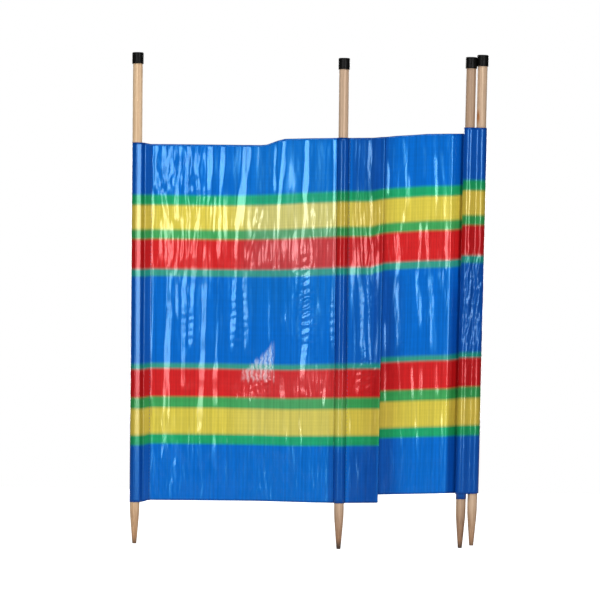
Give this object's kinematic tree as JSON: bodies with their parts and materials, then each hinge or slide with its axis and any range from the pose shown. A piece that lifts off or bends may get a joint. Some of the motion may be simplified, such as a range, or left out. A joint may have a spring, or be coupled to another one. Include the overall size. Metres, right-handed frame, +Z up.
{
  "type": "beach windbreak",
  "caption": "Striped woven cloth windbreak on tapered wooden poles with black caps; open bays between the poles, the last bay rolled up on its pole.",
  "frame": {"origin": "middle of the blunt tip of the middle pole, pole 2, where it meets the ground", "axes": "+Z up along pole 2, +X along the windbreak from the open end to the rolled end, -Y is the front"},
  "size_m": [0.8716, 0.0352, 1.212],
  "materials": {
    "pole_wood": "bare turned softwood",
    "cap_plastic": "moulded, satin",
    "striped_cloth": "glossy woven polyethylene tape in blue, green, yellow and red stripes"
  },
  "bodies": {
    "right_bays": {"pole_2": "pole_wood", "cap_2": "cap_plastic", "pocket_2": "striped_cloth", "bay_2_cloth": "striped_cloth", "pole_3": "pole_wood", "cap_3": "cap_plastic", "pocket_3": "striped_cloth", "pole_4": "pole_wood", "cap_4": "cap_plastic", "bay_3_roll": "striped_cloth", "last_turn": "striped_cloth"},
    "left_bay": {"pole_1": "pole_wood", "cap_1": "cap_plastic", "pocket_1": "striped_cloth", "bay_1_cloth": "striped_cloth"}
  },
  "joints": [
    {"name": "bay_fold", "type": "hinge", "parent": "right_bays", "child": "left_bay", "pos_m": [0, 0, 0], "axis": [0, 0, 1], "range_deg": [-160, 160]}
  ]
}
